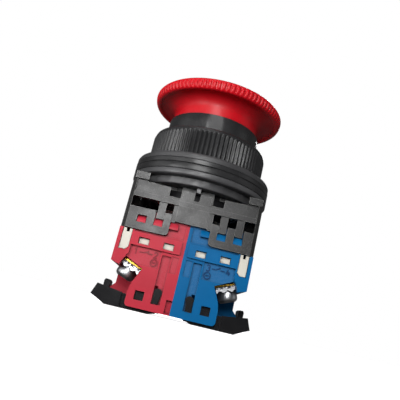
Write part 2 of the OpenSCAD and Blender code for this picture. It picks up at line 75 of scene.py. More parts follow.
# Sizes and places in millimetres, in the frame's own axes. SCREW_PLACE and CARRIER_X are those of the right
# side, rear face, and are mirrored for the others. The terminal screws lean outwards by SCREW_TILT.
HEAD_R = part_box("mushroom_head")[1].x / MM
CROWN_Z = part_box("head_cap")[1].z / MM
CAP_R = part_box("head_cap")[1].x / MM
SCREW_TILT = math.radians(21)
SCREW_PLACE = (12.8, 9.2, -31.2)
CARRIER_X = 7.8
PANEL_DEPTHS = (14.2, 14.8)
MARK_SUNK = -0.05


# ---------------------------------------------------------------- camera, floor and lights

def make_camera():
    """The photograph's angle: from below the blocks, looking up, with the button leaning to the right."""
    yaw, pitch, roll = math.radians(-0.19), math.radians(14.54), math.radians(-13.51)
    forward = Vector((math.sin(yaw) * math.cos(pitch), math.cos(yaw) * math.cos(pitch), math.sin(pitch)))
    level = Vector((math.cos(yaw), -math.sin(yaw), 0))
    down = forward.cross(level)
    right = math.cos(roll) * level + math.sin(roll) * down
    up = math.sin(roll) * level - math.cos(roll) * down
    camera = bpy.data.objects.new("camera", bpy.data.cameras.new("camera"))
    camera.data.sensor_width = 36
    camera.data.lens = 40.2
    camera.data.clip_start = 0.001
    stand = Vector((1.17, -131.2, -41.36))
    place = Matrix((right, up, -forward)).transposed().to_4x4()
    place.translation = stand * MM
    camera.matrix_world = place
    bpy.context.scene.collection.objects.link(camera)
    bpy.context.scene.camera = camera


def area_light(name, place, target, size, power):
    """A soft light at place, aimed at target. Lengths and places are in millimetres, power is in watts."""
    light = bpy.data.objects.new(name, bpy.data.lights.new(name, "AREA"))
    light.data.shape = "RECTANGLE"
    light.data.size = size[0] * MM
    light.data.size_y = size[1] * MM
    light.data.energy = power
    light.location = Vector(place) * MM
    light.rotation_mode = "QUATERNION"
    light.rotation_quaternion = (Vector(target) - Vector(place)).to_track_quat("-Z", "Y")
    bpy.context.scene.collection.objects.link(light)


# Name, place, target, width and height in millimetres, power in watts
LIGHTS = [
    ("left_key", (-100, -115, -5), (0, -10, -12), (50, 70), 0.08),
    ("softbox", (-18, -150, 26), (0, 0, -2), (42, 90), 0.18),
    ("top", (-60, -120, 300), (0, 0, 0), (160, 120), 0.20),
    ("left_side", (-230, -60, 45), (0, 0, -8), (110, 150), 0.06),
    ("right_side", (230, -60, 45), (0, 0, -8), (110, 150), 0.025),
    ("rear", (40, 260, 190), (0, 0, -12), (160, 120), 0.75),
]


def make_studio():
    """White room, pale floor under the terminal covers, and soft lights on every side and above."""
    room_light, backdrop = 0.11, 1.0
    world = bpy.data.worlds.new("studio")
    world.use_nodes = True
    backing = world.node_tree.nodes["Background"]
    backing.inputs["Color"].default_value = (1, 1, 1, 1)
    seen = world.node_tree.nodes.new("ShaderNodeLightPath")
    strength = ramp(world.node_tree, seen.outputs["Is Camera Ray"], room_light, backdrop)
    world.node_tree.links.new(strength, backing.inputs["Strength"])
    bpy.context.scene.world = world
    bpy.context.scene.view_settings.view_transform = "Standard"

    reach, clearance = 1.5, 0.0001
    ground = bpy.data.meshes.new("floor")
    z = cad_box[0].z - clearance
    corners = [(-reach, -reach, z), (reach, -reach, z), (reach, reach, z), (-reach, reach, z)]
    ground.from_pydata(corners, [], [(0, 1, 2, 3)])
    floor = bpy.data.objects.new("floor", ground)
    bpy.context.scene.collection.objects.link(floor)
    paint = bpy.data.materials.new("floor_paint")
    paint.use_nodes = True
    shader = paint.node_tree.nodes["Principled BSDF"]
    shader.inputs["Base Color"].default_value = (0.92, 0.92, 0.92, 1)
    shader.inputs["Roughness"].default_value = 0.7
    shader.inputs["Emission Color"].default_value = (1, 1, 1, 1)
    under_object, far_out, near, far = 0.8, 1.0, 0.05, 0.4
    spot = paint.node_tree.nodes.new("ShaderNodeTexCoord")
    away = paint.node_tree.nodes.new("ShaderNodeVectorMath")
    away.operation = "LENGTH"
    paint.node_tree.links.new(spot.outputs["Object"], away.inputs[0])
    glow = ramp(paint.node_tree, away.outputs["Value"], under_object, far_out, near, far)
    paint.node_tree.links.new(glow, shader.inputs["Emission Strength"])
    ground.materials.append(paint)
    floor.visible_diffuse = False
    floor.visible_glossy = False

    for name, place, target, size, power in LIGHTS:
        area_light(name, place, target, size, power)


# ---------------------------------------------------------------- materials

def ramp(tree, source, low, high, start=0.0, end=1.0):
    """Maps source from start..end to low..high."""
    node = tree.nodes.new("ShaderNodeMapRange")
    node.inputs["From Min"].default_value = start
    node.inputs["From Max"].default_value = end
    node.inputs["To Min"].default_value = low
    node.inputs["To Max"].default_value = high
    tree.links.new(source, node.inputs["Value"])
    return node.outputs["Result"]


def noise(tree, size, detail=2.0, stretch=(1, 1, 1)):
    """A noise with grains of about size millimetres, in the frame's coordinates."""
    coords = tree.nodes.new("ShaderNodeTexCoord")
    scale = tree.nodes.new("ShaderNodeMapping")
    scale.inputs["Scale"].default_value = [s / (size * MM) for s in stretch]
    tree.links.new(coords.outputs["Object"], scale.inputs["Vector"])
    texture = tree.nodes.new("ShaderNodeTexNoise")
    texture.inputs["Scale"].default_value = 1.0
    texture.inputs["Detail"].default_value = detail
    tree.links.new(scale.outputs["Vector"], texture.inputs["Vector"])
    return texture.outputs["Fac"]


# A Mix node lists its sockets for every data type; these are the ones for colours
COLOUR_A, COLOUR_B, COLOUR_OUT = 6, 7, 2


def blend_colour(tree, factor, a, b):
    """Mixes two colours; a or b may be a colour or another node's output."""
    node = tree.nodes.new("ShaderNodeMix")
    node.data_type = "RGBA"
    tree.links.new(factor, node.inputs["Factor"])
    for value, socket in ((a, node.inputs[COLOUR_A]), (b, node.inputs[COLOUR_B])):
        if isinstance(value, (tuple, list)):
            socket.default_value = (*value[:3], 1)
        else:
            tree.links.new(value, socket)
    return node.outputs[COLOUR_OUT]


def maths(tree, operation, a, b):
    """One Math node; a and b may be numbers or outputs."""
    node = tree.nodes.new("ShaderNodeMath")
    node.operation = operation
    for value, socket in zip((a, b), node.inputs):
        if isinstance(value, (int, float)):
            socket.default_value = value
        else:
            tree.links.new(value, socket)
    return node.outputs[0]


def edge_mask(tree, radius):
    """1 on edges sharper than the bevel radius, in millimetres, and 0 on flat faces."""
    bent, flat = 0.75, 0.99
    soft = tree.nodes.new("ShaderNodeBevel")
    soft.samples = 4
    soft.inputs["Radius"].default_value = radius * MM
    face = tree.nodes.new("ShaderNodeNewGeometry")
    dot = tree.nodes.new("ShaderNodeVectorMath")
    dot.operation = "DOT_PRODUCT"
    tree.links.new(soft.outputs["Normal"], dot.inputs[0])
    tree.links.new(face.outputs["Normal"], dot.inputs[1])
    return ramp(tree, dot.outputs["Value"], 1.0, 0.0, bent, flat)


def cavity(tree, reach):
    """1 on open faces, falling to 0 in corners and gaps narrower than reach, in millimetres."""
    node = tree.nodes.new("ShaderNodeAmbientOcclusion")
    node.samples = 6
    node.only_local = False
    node.inputs["Distance"].default_value = reach * MM
    return node.outputs["AO"]


def recess_mask(tree, depth):
    """1 on the wide faces that lie between two depths from the centre plane, in millimetres, else 0."""
    place = tree.nodes.new("ShaderNodeSeparateXYZ")
    facing = tree.nodes.new("ShaderNodeSeparateXYZ")
    coords = tree.nodes.new("ShaderNodeTexCoord")
    tree.links.new(coords.outputs["Object"], place.inputs["Vector"])
    tree.links.new(coords.outputs["Normal"], facing.inputs["Vector"])
    near, far = depth
    blur, tilted, square = 0.02, 0.9, 0.97
    away = maths(tree, "ABSOLUTE", place.outputs["Y"], 0)
    inside = maths(tree, "MULTIPLY", ramp(tree, away, 0, 1, (near - blur) * MM, near * MM),
                   ramp(tree, away, 1, 0, far * MM, (far + blur) * MM))
    turned = ramp(tree, maths(tree, "ABSOLUTE", facing.outputs["Y"], 0), 0, 1, tilted, square)
    return maths(tree, "MULTIPLY", inside, turned)


def scaled(colour, factor):
    """A colour made lighter or darker by a factor."""
    return tuple(min(1, c * factor) for c in colour[:3])


def surface(name, colour, rough=0.4, metal=0.0, mottle=0.12, grain=0.25, grain_height=0.01, speckle=0.0,
            speckle_tone=2.5, scratch=0.08, edge=0.0, glow=0.0, sheen_colour=None, specular=0.5,
            brushed=None, recess=None, recess_colour=None, painted_shade=0.0, painted_shade_reach=0.9):
    """A moulded or metal surface.

    mottle is how much the colour varies over centimetres. grain and grain_height are the size and height of
    the moulded texture in millimetres. speckle is the share of flecks, speckle_tone times lighter. scratch is
    how much fine scratches change the gloss. edge is how far sharp edges go towards sheen_colour, a painted
    highlight laid on in patches. glow is the share of light scattered inside. brushed stretches fine lines
    along the axis with the small number. grime paints shade that darkens corners and gaps up to
    painted_shade_reach wide. recess is a range of depth, in millimetres from the centre plane, where wide
    faces keep the mould's matt texture and show recess_colour.
    """
    material = bpy.data.materials.new(name)
    material.use_nodes = True
    tree = material.node_tree
    shader = tree.nodes["Principled BSDF"]
    link = tree.links.new

    cloud = noise(tree, 9.0, 3.0)
    tone = blend_colour(tree, ramp(tree, cloud, 0, 1, 0.3, 0.7), scaled(colour, 1 - mottle),
                        scaled(colour, 1 + mottle))
    fleck = noise(tree, grain, 1.0)
    if speckle:
        mask = ramp(tree, fleck, 0, 1, 0.72 - speckle * 0.35, 0.8 - speckle * 0.3)
        tone = blend_colour(tree, maths(tree, "MULTIPLY", mask, 0.7), tone, scaled(colour, speckle_tone))
    if recess:
        matt = recess_mask(tree, recess)
        cloud_tone = ramp(tree, fleck, 0.35, 1.0, 0.35, 0.65)
        tone = blend_colour(tree, maths(tree, "MULTIPLY", matt, cloud_tone), tone, recess_colour)
    if edge:
        # painted highlight: sharp edges lightened towards sheen_colour, in patches
        highlight_width, patch, least = 0.25, 1.2, 0.35
        sharp_edge_mask = edge_mask(tree, highlight_width)
        patches = ramp(tree, noise(tree, patch), 0, 1, 0.35, 0.65)
        edge_highlight = maths(tree, "MULTIPLY", sharp_edge_mask, maths(tree, "ADD", patches, least))
        highlight_colour = scaled([c + 0.05 for c in colour], 1.6) if sheen_colour is None else sheen_colour
        tone = blend_colour(tree, maths(tree, "MULTIPLY", edge_highlight, edge), tone, highlight_colour)
    if painted_shade:
        # painted shade: corners and gaps darkened by ambient occlusion
        shade = ramp(tree, cavity(tree, painted_shade_reach), 1.0, 0.0, 0.25, 0.85)
        tone = blend_colour(tree, maths(tree, "MULTIPLY", shade, painted_shade), tone, scaled(colour, 0.12))
    link(tone, shader.inputs["Base Color"])

    # gloss: smudges a few millimetres wide, fine scratches, and the lines of a brushed metal
    smudge = ramp(tree, noise(tree, 3.5, 4.0), -0.06, 0.08, 0.3, 0.7)
    line = noise(tree, 0.5, 2.0, (0.06, 1.4, 1.0))
    scored = ramp(tree, line, 0, scratch, 0.6, 0.72)
    gloss = maths(tree, "ADD", maths(tree, "ADD", smudge, scored), rough)
    if brushed:
        gloss = maths(tree, "ADD", gloss, ramp(tree, noise(tree, 0.18, 2.0, brushed), -0.1, 0.14))
    link(gloss, shader.inputs["Roughness"])

    scratch_height = 0.35 if scratch else 0.0
    height = maths(tree, "ADD", fleck, maths(tree, "MULTIPLY", line, scratch_height))
    bump = tree.nodes.new("ShaderNodeBump")
    bump.inputs["Distance"].default_value = grain_height * MM
    bump.inputs["Strength"].default_value = 1.0
    link(height, bump.inputs["Height"])
    link(bump.outputs["Normal"], shader.inputs["Normal"])

    shader.inputs["Metallic"].default_value = metal
    shader.inputs["Specular IOR Level"].default_value = specular
    if glow:
        shader.inputs["Subsurface Weight"].default_value = glow
        shader.inputs["Subsurface Radius"].default_value = (1.0, 0.35, 0.3)
        shader.inputs["Subsurface Scale"].default_value = 1.2 * MM
    return material


def make_materials():
    # edge and sheen_colour paint a highlight on sharp edges
    # grime and painted_shade_reach paint shade into corners and gaps
    return {
        "head_red": surface("head_red", (0.56, 0.003, 0.010), rough=0.40, mottle=0.05, grain=0.5,
                            grain_height=0.005, edge=0.3, sheen_colour=(0.80, 0.06, 0.07), painted_shade=0.75,
                            painted_shade_reach=6.0, specular=0.3),
        "cap_red": surface("cap_red", (0.62, 0.010, 0.016), rough=0.28, mottle=0.05, grain=0.6,
                           grain_height=0.004, scratch=0),
        "white_plastic": surface("white_plastic", (0.50, 0.49, 0.455), rough=0.45, mottle=0.06, painted_shade=0.6,
                                 painted_shade_reach=1.4),
        "ivory_plastic": surface("ivory_plastic", (0.70, 0.62, 0.46), rough=0.45, mottle=0.06, glow=0.1),
        "cream_plastic": surface("cream_plastic", (0.64, 0.61, 0.53), rough=0.5, mottle=0.07, grain=0.3,
                                 grain_height=0.02, edge=0.15, sheen_colour=(0.85, 0.83, 0.75), painted_shade=0.5),
        "black_rubber": surface("black_rubber", (0.040, 0.040, 0.042), rough=0.46, mottle=0.25, grain=0.18,
                                grain_height=0.012, edge=0.3, sheen_colour=(0.07, 0.07, 0.072), painted_shade=0.9),
        "black_plastic": surface("black_plastic", (0.018, 0.018, 0.019), rough=0.33, mottle=0.25, grain=0.2,
                                 grain_height=0.010, speckle=0.25, edge=0.4, sheen_colour=(0.09, 0.09, 0.092),
                                 painted_shade=0.8, specular=0.4),
        "nut_black": surface("nut_black", (0.015, 0.015, 0.016), rough=0.38, mottle=0.25, grain=0.2,
                             grain_height=0.008, edge=0.3, sheen_colour=(0.08, 0.08, 0.08), painted_shade=0.8,
                             specular=0.4),
        "washer_fibre": surface("washer_fibre", (0.06, 0.058, 0.055), rough=0.75, mottle=0.2, grain=0.12),
        "holder_grey": surface("holder_grey", (0.016, 0.016, 0.016), rough=0.36, mottle=0.45, grain=0.24,
                               grain_height=0.022, speckle=0.55, speckle_tone=3.2, edge=0.8,
                               sheen_colour=(0.22, 0.22, 0.21), painted_shade=0.95, painted_shade_reach=1.8,
                               specular=0.38),
        "red_housing": surface("red_housing", (0.47, 0.025, 0.045), rough=0.42, mottle=0.08, grain=0.25,
                               grain_height=0.012, edge=0.4, sheen_colour=(0.62, 0.09, 0.12), specular=0.12,
                               recess=PANEL_DEPTHS, recess_colour=(0.47, 0.050, 0.072), painted_shade=0.85),
        "blue_housing": surface("blue_housing", (0.0, 0.112, 0.300), rough=0.42, mottle=0.08, grain=0.25,
                                grain_height=0.012, edge=0.4, sheen_colour=(0.02, 0.22, 0.50), specular=0.08,
                                recess=PANEL_DEPTHS, recess_colour=(0.030, 0.140, 0.320), painted_shade=0.85),
        "cover_black": surface("cover_black", (0.007, 0.007, 0.008), rough=0.34, mottle=0.2, grain=0.25,
                               grain_height=0.008, edge=0.35, sheen_colour=(0.05, 0.05, 0.052),
                               specular=0.13),
        "spring_steel": surface("spring_steel", (0.58, 0.58, 0.60), rough=0.26, metal=1, mottle=0.08,
                                grain=0.1, grain_height=0.002),
        "copper": surface("copper", (0.70, 0.36, 0.19), rough=0.3, metal=1, mottle=0.12, grain=0.15,
                          grain_height=0.003, brushed=(1, 0.05, 1)),
        "silver_contact": surface("silver_contact", (0.86, 0.85, 0.82), rough=0.25, metal=1, mottle=0.06,
                                  grain=0.1, grain_height=0.003),
        "brass": surface("brass", (0.62, 0.36, 0.05), rough=0.30, metal=1, mottle=0.1, grain=0.15,
                         grain_height=0.003, edge=0.3, sheen_colour=(0.95, 0.75, 0.35), brushed=(0.05, 1, 1)),
        "zinc": surface("zinc", (0.48, 0.49, 0.51), rough=0.33, metal=1, mottle=0.1, grain=0.3,
                        grain_height=0.006, edge=0.4, sheen_colour=(0.74, 0.74, 0.75), brushed=(1, 1, 0.1),
                        painted_shade=0.85, painted_shade_reach=0.8),
        "red_mark": surface("red_mark", (0.22, 0.004, 0.014), rough=0.4, mottle=0.1, specular=0.25),
        "blue_mark": surface("blue_mark", (0.0, 0.038, 0.130), rough=0.4, mottle=0.1, specular=0.15),
        # painted light: a lighter black than black_plastic, standing in for the light on the base ring's
        # skirt
        "ring_black_lit": surface("ring_black_lit", (0.060, 0.060, 0.063), rough=0.38, mottle=0.25, grain=0.2,
                              grain_height=0.006, edge=0.3, sheen_colour=(0.07, 0.07, 0.072), painted_shade=0.5),
        # painted shade: a darker, dull black with no edge highlight, for parts deep inside the body
        "inner_black_shaded": surface("inner_black_shaded", (0.006, 0.006, 0.007), rough=0.6, mottle=0.2, specular=0.2),
        "print_white": surface("print_white", (0.80, 0.80, 0.78), rough=0.5, mottle=0.04, grain=0.3),
    }


# Nodes that look different from the rest of their slot: the lock ring and push plate deep inside get a
# darker, dull black as painted shade, and the base ring a lighter black as painted light on its skirt
OWN_PAINT = {"lock_ring": "inner_black_shaded", "push_plate": "inner_black_shaded", "base_ring": "ring_black_lit"}


def paint_frame(materials):
    """Gives each CAD node its own paint, or else the material of its slot in the record."""
    for part in frame["record"]["subparts"]:
        node = frame["nodes"][part["node"]]
        node.data.materials.clear()
        node.data.materials.append(materials[OWN_PAINT.get(part["node"], part["material_slot"])])


def soften_edges(node, width):
    """Rounds a CAD node's sharp edges by width millimetres.

    Its loose triangles are joined into flat faces first.
    """
    weld_gap, flat_angle, corner_angle = 0.001, 0.3, 32
    weld = node.modifiers.new("join", "WELD")
    weld.merge_threshold = weld_gap * MM
    flat = node.modifiers.new("flatten", "DECIMATE")
    flat.decimate_type = "DISSOLVE"
    flat.angle_limit = math.radians(flat_angle)
    round_off = node.modifiers.new("round", "BEVEL")
    round_off.width = width * MM
    round_off.segments = 2
    round_off.limit_method = "ANGLE"
    round_off.angle_limit = math.radians(corner_angle)
    round_off.harden_normals = True


# ---------------------------------------------------------------- mesh building

def piece(name, verts, faces, body, slot, sharp=35, node=None, paint=None):
    """Makes a piece from points in millimetres, paints it, and lets it ride on a CAD body."""
    mesh = bpy.data.meshes.new(name)
    mesh.from_pydata([Vector(v) * MM for v in verts], [], faces)
    made = bmesh.new()
    made.from_mesh(mesh)
    bmesh.ops.recalc_face_normals(made, faces=made.faces)
    for edge in made.edges:
        edge.smooth = not edge.is_manifold or edge.calc_face_angle(0) < math.radians(sharp)
    for face in made.faces:
        face.smooth = True
    made.to_mesh(mesh)
    made.free()
    thing = bpy.data.objects.new(name, mesh)
    bpy.context.scene.collection.objects.link(thing)
    mesh.materials.append(materials[paint or slot])
    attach(thing, body)
    if node:
        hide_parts(node)
    return thing


def revolve(rows, steps, closed=True):
    """Turns rows about Z. A row is (radius, height), and a radius may be a function of the angle.

    Closed rows make a ring; open rows start and end on the axis.
    """
    verts, faces = [], []
    for radius, height in rows:
        for i in range(steps):
            angle = TAU * i / steps
            r = radius(angle) if callable(radius) else radius
            verts.append((r * math.cos(angle), r * math.sin(angle), height))
    pairs = list(zip(range(len(rows)), range(1, len(rows))))
    if closed:
        pairs.append((len(rows) - 1, 0))
    for a, b in pairs:
        for i in range(steps):
            j = (i + 1) % steps
            faces.append((a * steps + i, a * steps + j, b * steps + j, b * steps + i))
    if not closed:
        faces.append(tuple(range(steps)))
        faces.append(tuple((len(rows) - 1) * steps + i for i in range(steps)))
    return verts, faces


def curve(centre, radius, start, end, steps):
    """Points (radius, height) of an arc between two angles in degrees."""
    angles = [math.radians(start + (end - start) * i / steps) for i in range(steps + 1)]
    return [(centre[0] + radius * math.cos(a), centre[1] + radius * math.sin(a)) for a in angles]


def wire(path, radius, sides=10):
    """A closed round tube along a list of points."""
    points = [Vector(p) for p in path]
    verts, faces = [], []
    for i, point in enumerate(points):
        ahead = (points[min(i + 1, len(points) - 1)] - points[max(i - 1, 0)]).normalized()
        side = ahead.cross(Vector((0, 0, 1)) if abs(ahead.z) < 0.9 else Vector((1, 0, 0))).normalized()
        other = ahead.cross(side)
        for k in range(sides):
            angle = TAU * k / sides
            verts.append(point + radius * (math.cos(angle) * side + math.sin(angle) * other))
    for i in range(len(points) - 1):
        for k in range(sides):
            n = (k + 1) % sides
            faces.append((i * sides + k, (i + 1) * sides + k, (i + 1) * sides + n, i * sides + n))
    faces.append(tuple(range(sides)))
    faces.append(tuple((len(points) - 1) * sides + k for k in range(sides)))
    return verts, faces


def coil_path(radius, low, high, turns, wire_r, per_turn=32):
    """A compression spring's centre line: the first and last turns lie flat, the rest climb evenly."""
    count = int(turns * per_turn)
    flat = 0.8 / turns
    low, high = low + wire_r, high - wire_r
    path = []
    for i in range(count + 1):
        t = i / count
        climb = min(max((t - flat) / (1 - 2 * flat), 0), 1)
        seat = 2 * wire_r * (min(t / flat, 1) * 0.5 - 0.5 + max(0, (t - 1 + flat) / flat) * 0.5)
        base = low + wire_r + (high - low - 2 * wire_r) * climb + seat
        angle = TAU * turns * t
        path.append((radius * math.cos(angle), radius * math.sin(angle), base))
    return path


def plate(outline, low, high, hole):
    """A flat plate between two heights: an outline and a hole with as many points."""
    n = len(outline)
    verts = [(x, y, z) for z in (low, high) for x, y in outline]
    faces = [(i, (i + 1) % n, n + (i + 1) % n, n + i) for i in range(n)]
    verts += [(x, y, z) for z in (low, high) for x, y in hole]
    for level, bore in ((0, 2 * n), (n, 3 * n)):
        faces += [(level + i, level + (i + 1) % n, bore + (i + 1) % n, bore + i) for i in range(n)]
    faces += [(2 * n + i, 2 * n + (i + 1) % n, 3 * n + (i + 1) % n, 3 * n + i) for i in range(n)]
    return verts, faces


def merge(*shapes):
    """Puts several (points, faces) shapes in one."""
    verts, faces = [], []
    for shape_verts, shape_faces in shapes:
        start = len(verts)
        verts += [tuple(v) for v in shape_verts]
        faces += [tuple(start + i for i in face) for face in shape_faces]
    return verts, faces


# ---------------------------------------------------------------- head

HEAD_RIBS = 90
POINTS_PER_RIB = 8
CROWN_DROP = 4.2
CROWN_EDGE = HEAD_R - 0.8
CROWN_BALL = (CROWN_EDGE ** 2 + CROWN_DROP ** 2) / (2 * CROWN_DROP)
SLEEVE_R = 13.1


def crown_height(r):
    """Height of the crown's spherical top at a distance r from the axis."""
    return CROWN_Z - CROWN_BALL + math.sqrt(CROWN_BALL ** 2 - r * r)


def rib(outer, inner, count, land, flank):
    """Radius of a ribbed band as a function of the angle.

    land and flank are the shares of half a rib that its flat crest and its sloping flank take.
    """
    def radius(angle):
        phase = abs((angle * count / TAU) % 1 - 0.5) * 2
        rise = min(max((land + flank - phase) / flank, 0), 1)
        return inner + (outer - inner) * rise
    return radius


def make_head():
    """The mushroom: a shallow crown, a ribbed rim and a dished underside running down into the sleeve."""
    depth_share, land, flank = 0.85, 0.46, 0.3
    def ribbed(r, depth):
        return rib(r, r - depth * depth_share, HEAD_RIBS, land, flank)
    crown = [(r, crown_height(r)) for r in (12, 12.8, 14, 15.2, 16.4, 17.4, 18.2)]
    shoulder = [(18.75, 22.98), (19.2, 22.72), (19.5, 22.45)]
    rim = [(ribbed(19.72, 0.0), 22.2), (ribbed(19.86, 0.12), 22.0), (ribbed(19.97, 0.38), 21.75),
           (ribbed(20, 0.42), 21.3), (ribbed(19.93, 0.42), 20.8), (ribbed(19.8, 0.4), 20.35),
           (ribbed(19.62, 0.3), 20.0), (ribbed(19.4, 0.12), 19.75)]
    lip = [(19.15, 19.6), (18.9, 19.52), (18.6, 19.5), (18.4, 19.58), (18.28, 19.75), (18.2, 20.1)]
    dish = curve((SLEEVE_R + 3.6, 16.9), 3.5, 78, 180, 18)
    under = [(17.9, 20.36)] + dish
    sleeve = [(SLEEVE_R, 16.2), (SLEEVE_R, 6.3), (12.9, 6), (11.8, 6), (11.6, 6.2), (11.6, 18)]
    inside = [(12.6, 20), (13.4, 21.6), (12.8, 22.5), (12, 23), (5.3, 23), (5.2, 22.9), (5.2, 19.7),
              (5.1, 19.6), (3.1, 19.6), (3.0, 19.7), (3.0, 24.3), (11.95, 24.3), (12, 24.35)]
    rows = crown + shoulder + rim + lip + under + sleeve + inside
    piece("head_shell", *revolve(rows, HEAD_RIBS * POINTS_PER_RIB), "head", "head_red", 50, "mushroom_head")


def make_cap():
    """The round cap in the crown, a turned disc that carries the crown's curve on to the axis."""
    gap, edge, steps = 0.03, 0.12, 180
    rim_r = CAP_R - gap
    underside = [(5.4, 25.3), (5.5, 25.2), (5.5, 24.4), (5.6, 24.3), (rim_r - edge, 24.3), (rim_r, 24.4)]
    rim = [(rim_r, crown_height(rim_r) - edge), (rim_r - edge, crown_height(rim_r - edge))]
    top = [(r, crown_height(r)) for r in (11.2, 10, 8.5, 7, 5.5, 4, 2.5, 1.2, 0.4)]
    piece("cap_disc", *revolve(underside + rim + top, steps, closed=False), "head", "cap_red", 40, "head_cap")


def make_turn_arrows():
    """Three raised arrows round the cap that show the way to turn the head: clockwise, seen from above."""
    shapes = []
    count, inner, outer, barb, proud, sunk = 3, 8.1, 9.3, 0.9, 0.05, 0.15
    sweep, tip, steps, tip_steps = math.radians(62), math.radians(20), 16, 6
    for k in range(count):
        start = TAU * k / count
        ring = []
        for i in range(steps + 1):
            angle = start + sweep * i / steps
            ring.append((angle, inner, outer))
        ring.append((start + sweep, inner - barb, outer + barb))
        for i in range(1, tip_steps + 1):
            t = i / tip_steps
            middle, half = (inner + outer) / 2, ((outer - inner) / 2 + barb) * (1 - t)
            ring.append((start + sweep + tip * t, middle - half, middle + half))
        verts = []
        for lift in (proud, -sunk):
            for angle, low, high in ring:
                for r in (low, high):
                    verts.append((r * math.cos(-angle), r * math.sin(-angle), crown_height(r) + lift))
        n = len(ring)
        faces = []
        for i in range(n - 1):
            a, b = 2 * i, 2 * i + 1
            faces += [(a, b, b + 2, a + 2), (2 * n + a, 2 * n + b, 2 * n + b + 2, 2 * n + a + 2)]
            faces += [(a, a + 2, 2 * n + a + 2, 2 * n + a), (b, b + 2, 2 * n + b + 2, 2 * n + b)]
        faces += [(0, 1, 2 * n + 1, 2 * n), (2 * n - 2, 2 * n - 1, 4 * n - 1, 4 * n - 2)]
        shapes.append((verts, faces))
    arrows = piece("turn_arrows", *merge(*shapes), "head", "white_plastic", 30, paint="print_white")
    weld_gap = 0.002
    weld = bmesh.new()
    weld.from_mesh(arrows.data)
    bmesh.ops.remove_doubles(weld, verts=weld.verts, dist=weld_gap * MM)
    weld.to_mesh(arrows.data)
    weld.free()


# ---------------------------------------------------------------- body, nut and springs

def make_barrel():
    """The operator's body, with a real M30 thread between the neck and the flange."""
    root, crest, pitch, low, high, per_pitch, steps = 14.3, 15.0, 1.5, -3.1, 7.9, 10, 192
    def thread(height):
        fade = min(1, (high - height) / 0.8, (height - low) / 0.5)
        def radius(angle):
            phase = (height / pitch - angle / TAU) % 1
            tooth = min(max(1.6 - abs(phase - 0.5) * 4, 0), 1)
            return root + (crest - root) * tooth * max(fade, 0)
        return radius
    count = int((high - low) / pitch * per_pitch)
    heights = [high - (high - low) * i / count for i in range(count + 1)]
    neck = [(13.4, -2.5), (13.4, 13.6), (13.86, 14.5), (13.9, 14.57), (13.97, 14.5), (14, 14.4), (14, 12),
            (14, 9.7), (14, 8.25), (14.25, 8.15)]
    flange = [(14.6, -3.3), (20.1, -3.3), (20.25, -3.35), (20.3, -3.5), (20.3, -4.8), (20.25, -4.95),
              (20.1, -5)]
    skirt = [(13.5, -5), (13.5, -10.9), (13.4, -11), (12.4, -11), (12.3, -10.9), (12.3, -5)]
    bore = [(4.65, -5), (4.55, -4.9), (4.55, 0.9), (4.65, 1), (5.9, 1), (6, 0.9), (6, -2.5)]
    verts, faces = revolve(neck + [(thread(h), h) for h in heights] + flange + skirt + bore, steps)
    flat_y, flat_from, outside = -13.82, 9.6, 13.7
    verts = [(x, max(y, flat_y), z) if z > flat_from and math.hypot(x, y) > outside else (x, y, z)
             for x, y, z in verts]
    piece("barrel_body", verts, faces, "base", "black_plastic", 25, "operator_barrel")


def make_nut():
    """The ring nut: V-shaped ribs under a smooth rounded shoulder."""
    count, land, flank = 84, 0.12, 0.76
    def ribbed(r, depth):
        return rib(r, r - depth, count, land, flank)
    rows = [(15.06, 0.4), (15.2, 0.32), (16.7, 0.32), (16.95, 0.45), (ribbed(17.15, 0.2), 0.6),
            (ribbed(17.33, 0.5), 0.95), (ribbed(17.35, 0.5), 4.3), (ribbed(17.35, 0.5), 7.35),
            (ribbed(17.25, 0.3), 7.75), (ribbed(17.12, 0.0), 7.95), (17.1, 8.1), (17.05, 8.4), (16.9, 8.75),
            (16.6, 9.0), (16.2, 9.1), (14.35, 9.1), (14.22, 8.95), (14.2, 8.4), (14.3, 8.3), (15.06, 8.3)]
    piece("nut_shell", *revolve(rows, count * POINTS_PER_RIB), "ring_nut", "nut_black", 32, "ring_nut")


def make_springs():
    """Every spring, as round wire with flat end turns. Those that are pressed get a mesh of their own."""
    def spring(name, body, radius, wire_r, low, high, turns, centre=(0, 0)):
        verts, faces = wire(coil_path(radius, low, high, turns, wire_r), wire_r)
        verts = [(v[0] + centre[0], v[1] + centre[1], v[2]) for v in verts]
        return piece(name + "_wire", verts, faces, body, "spring_steel", 60, name)

    pressed = spring("return_spring", "base", 7.5, 0.48, -2.45, 16.35, 8)
    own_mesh(pressed)
    spring("reset_spring", "head", 6.5, 0.38, 18.02, 21.95, 4.5)
    for side, sign in SIDES.items():
        bridge_low, bridge_high = (-24.15, -22.05) if sign < 0 else (-23.45, -19.95)
        centre = (CARRIER_X * sign, 0)
        spring(side + "_bridge_spring", side + "_carrier", 1.5, 0.19, bridge_low, bridge_high, 4, centre)
        lifter = spring(side + "_carrier_spring", "base", 2.1, 0.2, -31.55, -25.05, 5, centre)
        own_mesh(lifter)


# ---------------------------------------------------------------- terminals

def on_terminal(point, sign, face):
    """Moves a point drawn along -Z from the origin onto a terminal screw's axis."""
    x, y, z = point
    cosine, sine = math.cos(SCREW_TILT), math.sin(SCREW_TILT)
    turned_x, turned_z = x * cosine - z * sine, x * sine + z * cosine
    screw_x, screw_y, screw_z = SCREW_PLACE
    return (sign * (screw_x + turned_x), face * (screw_y + y), screw_z + turned_z)


def wavy_lip(y, inner, half, top, low, wave):
    """A lip along x whose lower edge has three rounded teeth."""
    steps, verts, faces = 36, [], []
    for i in range(steps + 1):
        t = -1 + 2 * i / steps
        drop = low + wave * (1 + math.cos(t * math.pi * 3)) / 2
        verts += [(half * t, y, top), (half * t, y, drop), (half * t, inner, drop), (half * t, inner, top)]
    for i in range(steps):
        for k in range(4):
            a, b = 4 * i + k, 4 * i + (k + 1) % 4
            faces.append((a, b, b + 4, a + 4))
    return verts, faces + [(0, 1, 2, 3), tuple(4 * steps + k for k in range(4))]


